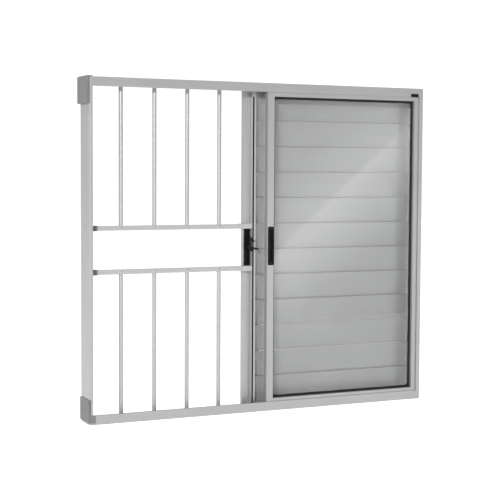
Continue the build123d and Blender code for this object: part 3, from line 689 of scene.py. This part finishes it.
class WINDOW_OT_pile(bpy.types.Operator):
    """Black brush pile on the post: a backing strip and its leaning tufts"""

    bl_idname = "window_build.pile"
    bl_label = "Brush pile"

    def execute(self, context):
        refined("grille_post_strip", "black_rubber", 0.2 * MM)
        shape = context.scene.pile_shape
        low, high = box("grille_post_strip")
        tuft = turned(
            [(0, TUFT_FOOT), (-0.5 * shape.height, TUFT_WAIST), (-shape.height, TUFT_TIP)],
            "Y", (0, 0, 0), 5,
        )
        piece = piece_from(tuft, "post_pile", material_of("black_rubber"))
        column = (high.x - low.x - 2 * PILE_MARGIN) / (shape.columns - 1)
        rows = int((high.z - low.z - 2 * PILE_MARGIN) / shape.step)
        start = (low.x + PILE_MARGIN, low.y, low.z + PILE_MARGIN)
        lean = (PILE_LEAN, PILE_LEAN, PILE_LEAN)
        repeated(piece, start, shape.columns, (column, 0, 0), rows, (0, 0, shape.step), lean, shape.seed)
        attach(piece, "grille_post_strip", replace=False)
        return {"FINISHED"}


class WINDOW_OT_rivets(bpy.types.Operator):
    """Blind rivets where the bars meet the rails"""

    bl_idname = "window_build.rivets"
    bl_label = "Rivets"

    def execute(self, context):
        low, high = box("grille_rivets")
        radius, proud, length = RIVET_R, RIVET_PROUD, high.y - low.y
        profile = [
            (length, 0), (length, RIVET_SHANK), (proud, RIVET_SHANK), (proud, radius),
            (proud * 0.6, radius * 0.97), (proud * 0.25, radius * 0.72), (0, radius * 0.42),
            (0.0, radius * 0.36), (proud * 0.45, radius * 0.3), (proud * 0.45, 0),
        ]
        bm = turned(profile, "Y", (0, 0, 0), 28)
        smooth_by_angle(bm, 50)
        piece = piece_from(bm, "bar_rivets", material_of("plated_steel"))
        across = (high.x - low.x - 2 * radius) / 3
        apart = high.z - low.z - 2 * radius
        start = (low.x + radius, low.y, low.z + radius)
        repeated(piece, start, 4, (across, 0, 0), 2, (0, 0, apart))
        attach(piece, "grille_rivets")
        return {"FINISHED"}


def screw_profile(head, head_radius, shank_radius, length):
    """Pan head with a recess, then a plain shank, along the axis from the head's face."""
    return [
        (head * 0.55, 0), (head * 0.55, head_radius * 0.2), (0, head_radius * 0.42),
        (0, head_radius * 0.55), (head * 0.3, head_radius * 0.88), (head, head_radius),
        (head, shank_radius), (length, shank_radius * 0.9), (length, 0),
    ]


class WINDOW_OT_screws(bpy.types.Operator):
    """Screws in the jamb, the lock and the finger pull"""

    bl_idname = "window_build.screws"
    bl_label = "Screws"

    def execute(self, context):
        for node, axis, head, head_radius, key in (
            ("jamb_screws", "X", 1.6 * MM, 4 * MM, "plated_steel"),
            ("louvre_lock_screws", "Y", 0.6 * MM, 3 * MM, "black_steel"),
            ("glass_pull_screws", "Y", 0.6 * MM, 3 * MM, "black_steel"),
        ):
            low, high = box(node)
            length = high.x - low.x if axis == "X" else high.y - low.y
            bm = turned(screw_profile(head, head_radius, SCREW_SHANK, length), axis, (0, 0, 0), 28)
            smooth_by_angle(bm, 50)
            piece = piece_from(bm, node + "_finished", material_of(key))
            middle = (low + high) / 2
            if axis == "X":
                start = (low.x, middle.y, low.z + head_radius)
            else:
                start = (middle.x, low.y, low.z + head_radius)
            apart = high.z - low.z - 2 * head_radius
            repeated(piece, start, 1, (0, 0, 0), 2, (0, 0, apart))
            attach(piece, node)
        return {"FINISHED"}


class WINDOW_OT_louvres(bpy.types.Operator):
    """Both louvre leaves: stiles, rails and blades"""

    bl_idname = "window_build.louvres"
    bl_label = "Louvre leaves"

    def execute(self, context):
        for prefix in ("louvre_leaf_", "fixed_louvre_"):
            left, right, bottom, top = (prefix + part for part in frames_of(prefix))
            for node in (left, right):
                refined(node, "frame_upright")
            for node in (bottom, top):
                refined(node, "frame_level")
            louvre_stack(prefix + "blades", prefix, prefix + "blade_stack")
        return {"FINISHED"}


class WINDOW_OT_glass_leaf(bpy.types.Operator):
    """Glass leaf: stiles, rails, pane and gasket"""

    bl_idname = "window_build.glass_leaf"
    bl_label = "Glass leaf"

    def execute(self, context):
        for node in ("glass_leaf_pull_stile", "glass_leaf_jamb_stile"):
            refined(node, "frame_upright")
        for node in ("glass_leaf_bottom_rail", "glass_leaf_top_rail"):
            refined(node, "frame_level")
        refined("glass_gasket", "black_rubber", 0.8 * MM, 3)
        pane = refined("glass_pane", "float_glass", 0.3 * MM)
        pane.visible_shadow = False
        return {"FINISHED"}


class WINDOW_OT_handles(bpy.types.Operator):
    """Lock with its claw lever, finger pull and thumb latch"""

    bl_idname = "window_build.handles"
    bl_label = "Handles"

    def execute(self, context):
        for node, width in (
            ("louvre_lock_body", 0.3 * MM),
            ("louvre_lock_lever", 0.7 * MM),
            ("glass_pull_body", 0.3 * MM),
            ("glass_thumb_latch", 0.4 * MM),
        ):
            refined(node, "handle_plastic", width, 3)
        return {"FINISHED"}


class WINDOW_OT_rollers(bpy.types.Operator):
    """Rollers, their housings and axles"""

    bl_idname = "window_build.rollers"
    bl_label = "Rollers"

    def execute(self, context):
        for leaf in ("louvre", "glass"):
            for side in ("left", "right"):
                refined(f"{leaf}_leaf_roller_{side}", "nylon", 0.15 * MM)
            refined(f"{leaf}_leaf_roller_housings", "nylon", 0.25 * MM)
            refined(f"{leaf}_leaf_axles", "plated_steel", 0.15 * MM)
        return {"FINISHED"}


class WINDOW_OT_trim(bpy.types.Operator):
    """Corner guards and the blank badge"""

    bl_idname = "window_build.trim"
    bl_label = "Guards and badge"

    def execute(self, context):
        for node in ("upper_corner_guard", "lower_corner_guard"):
            refined(node, "guard_plastic", 0.9 * MM, 3)
        refined("badge_plate", "handle_plastic", 0.2 * MM)
        return {"FINISHED"}


class WINDOW_OT_stage(bpy.types.Operator):
    """Pale floor, soft lights and the camera"""

    bl_idname = "window_build.stage"
    bl_label = "Stage"

    def execute(self, context):
        look = context.scene.stage_look
        self.floor(look)
        self.surround(context.scene, look)
        self.key_light(look)
        self.glare_card(look)
        self.camera(context.scene, look)
        context.scene.view_settings.view_transform = "Standard"
        return {"FINISHED"}

    def floor(self, look):
        material, tree, surface = shader("studio_floor")
        cloud = noise(tree, grain_coordinates(tree, (1, 1, 1)), 0.8, 2.0)
        tree.links.new(shaded(tree, cloud, look.floor_tone, 0.995, 1.005), surface.inputs["Base Color"])
        surface.inputs["Roughness"].default_value = 0.9
        surface.inputs["Emission Color"].default_value = (1, 1, 1, 1)
        surface.inputs["Emission Strength"].default_value = look.floor_glow
        bm = bmesh.new()
        turns = ((-1, -1), (1, -1), (1, 1), (-1, 1))
        corners = [bm.verts.new((x * FLOOR_REACH, y * FLOOR_REACH, 0)) for x, y in turns]
        bm.faces.new(corners)
        sweep = piece_from(bm, "studio_floor", material)
        sweep.visible_diffuse = False

    def surround(self, scene, look):
        """A pale surround, brighter behind the window than in front of it."""
        world = bpy.data.worlds.new("studio")
        world.use_nodes = True
        tree = world.node_tree
        back = tree.nodes["Background"]
        back.inputs["Color"].default_value = (1, 1, 1, 1)
        where = tree.nodes.new("ShaderNodeTexCoord")

        def lobe(direction, start, end, brightness):
            """Brightness that rises from the front's to its own towards a direction."""
            towards = tree.nodes.new("ShaderNodeVectorMath")
            towards.operation = "DOT_PRODUCT"
            towards.inputs[1].default_value = Vector(direction).normalized()
            tree.links.new(where.outputs["Generated"], towards.inputs[0])
            slope = tree.nodes.new("ShaderNodeMapRange")
            slope.interpolation_type = "SMOOTHSTEP"
            slope.inputs["From Min"].default_value = start
            slope.inputs["From Max"].default_value = end
            slope.inputs["To Min"].default_value = look.sky_front
            slope.inputs["To Max"].default_value = brightness
            tree.links.new(towards.outputs["Value"], slope.inputs["Value"])
            return slope.outputs["Result"]

        most = tree.nodes.new("ShaderNodeMath")
        most.operation = "MAXIMUM"
        tree.links.new(lobe(BACK_LOBE, 0.45, 0.92, look.sky_back), most.inputs[0])
        tree.links.new(lobe(LEFT_LOBE, 0.5, 0.95, look.sky_left), most.inputs[1])
        tree.links.new(most.outputs["Value"], back.inputs["Strength"])
        scene.world = world

    def key_light(self, look):
        light = bpy.data.lights.new("key", "AREA")
        light.energy = look.key_power
        light.shape = "RECTANGLE"
        light.size = light.size_y = look.key_size
        lamp = bpy.data.objects.new("key", light)
        level = math.cos(look.key_height)
        away = Vector(
            (
                -math.sin(look.key_azimuth) * level,
                -math.cos(look.key_azimuth) * level,
                math.sin(look.key_height),
            )
        )
        place = Vector((0, 0, 0.5)) + KEY_DISTANCE * away
        lamp.matrix_world = Matrix.Translation(place) @ away.to_track_quat("Z", "Y").to_matrix().to_4x4()
        lamp.visible_camera = False
        bpy.context.scene.collection.objects.link(lamp)

    def glare_card(self, look):
        """A lit card that the pane mirrors: bright along one slanting edge, fading away from it."""
        low, high = box("glass_pane")
        size = high - low
        first = Vector((low.x + look.glare_high[0] * size.x, low.z + look.glare_high[1] * size.z))
        last = Vector((low.x + look.glare_low[0] * size.x, low.z + look.glare_low[1] * size.z))
        along = (last - first).normalized()
        across = Vector((-along.y, along.x))
        if across.x < 0:
            across = -across
        eye = Vector(look.camera_place)
        spread = (2 * low.y - CARD_Y - eye.y) / (low.y - eye.y)
        bm = bmesh.new()
        layer = bm.loops.layers.uv.new("glare")
        corners, reach = [], []
        for x, z in ((low.x, low.z), (high.x, low.z), (high.x, high.z), (low.x, high.z)):
            x += math.copysign(CARD_MARGIN, x - (low.x + high.x) / 2)
            z += math.copysign(CARD_MARGIN, z - (low.z + high.z) / 2)
            there = Vector((eye.x + (x - eye.x) * spread, CARD_Y, eye.z + (z - eye.z) * spread))
            corners.append(bm.verts.new(there))
            reach.append((Vector((x, z)) - first).dot(across))
        sheet = bm.faces.new(corners)
        for loop, distance in zip(sheet.loops, reach):
            loop[layer].uv = (0.5 + distance / 2, 0.5)
        card = piece_from(bm, "glare_card", glare_light("glare_light", look.glare))
        card.visible_camera = False
        card.visible_diffuse = False
        card.visible_shadow = False

    def camera(self, scene, look):
        data = bpy.data.cameras.new("camera")
        data.sensor_width = 36.0
        data.lens = look.lens
        data.clip_start = 0.05
        data.clip_end = 60.0
        camera = bpy.data.objects.new("camera", data)
        yaw = Matrix.Rotation(-look.camera_yaw, 4, "Z")
        pitch = Matrix.Rotation(math.pi / 2 + look.camera_pitch, 4, "X")
        roll = Matrix.Rotation(look.camera_roll, 4, "Z")
        camera.matrix_world = Matrix.Translation(look.camera_place) @ yaw @ pitch @ roll
        scene.collection.objects.link(camera)
        scene.camera = camera


class WINDOW_PT_build(bpy.types.Panel):
    """Settings and steps of the window"""

    bl_idname = "WINDOW_PT_build"
    bl_label = "Grilled window"
    bl_space_type = "VIEW_3D"
    bl_region_type = "UI"
    bl_category = "Window"

    def draw(self, context):
        layout = self.layout
        for group in SETTINGS:
            settings = getattr(context.scene, group)
            column = layout.column(align=True)
            for name in settings.bl_rna.properties.keys():
                if name not in ("rna_type", "name"):
                    column.prop(settings, name)
        for step in STEPS:
            layout.operator(step.bl_idname)


SETTINGS = {
    "window_finish": WindowFinish,
    "louvre_shape": LouvreShape,
    "pile_shape": PileShape,
    "stage_look": StageLook,
}
STEPS = (
    WINDOW_OT_stage,
    WINDOW_OT_frame,
    WINDOW_OT_grille,
    WINDOW_OT_pile,
    WINDOW_OT_rivets,
    WINDOW_OT_screws,
    WINDOW_OT_louvres,
    WINDOW_OT_glass_leaf,
    WINDOW_OT_handles,
    WINDOW_OT_rollers,
    WINDOW_OT_trim,
)


def register():
    for group in SETTINGS.values():
        bpy.utils.register_class(group)
    for name, group in SETTINGS.items():
        setattr(bpy.types.Scene, name, bpy.props.PointerProperty(type=group))
    for step in STEPS:
        bpy.utils.register_class(step)
    bpy.utils.register_class(WINDOW_PT_build)


def unregister():
    bpy.utils.unregister_class(WINDOW_PT_build)
    for step in reversed(STEPS):
        bpy.utils.unregister_class(step)
    for name in SETTINGS:
        delattr(bpy.types.Scene, name)
    for group in reversed(list(SETTINGS.values())):
        bpy.utils.unregister_class(group)


def main():
    register()
    for step in STEPS:
        module, name = step.bl_idname.split(".")
        getattr(getattr(bpy.ops, module), name)()
    bpy.context.view_layer.update()


if __name__ == "__main__":
    main()
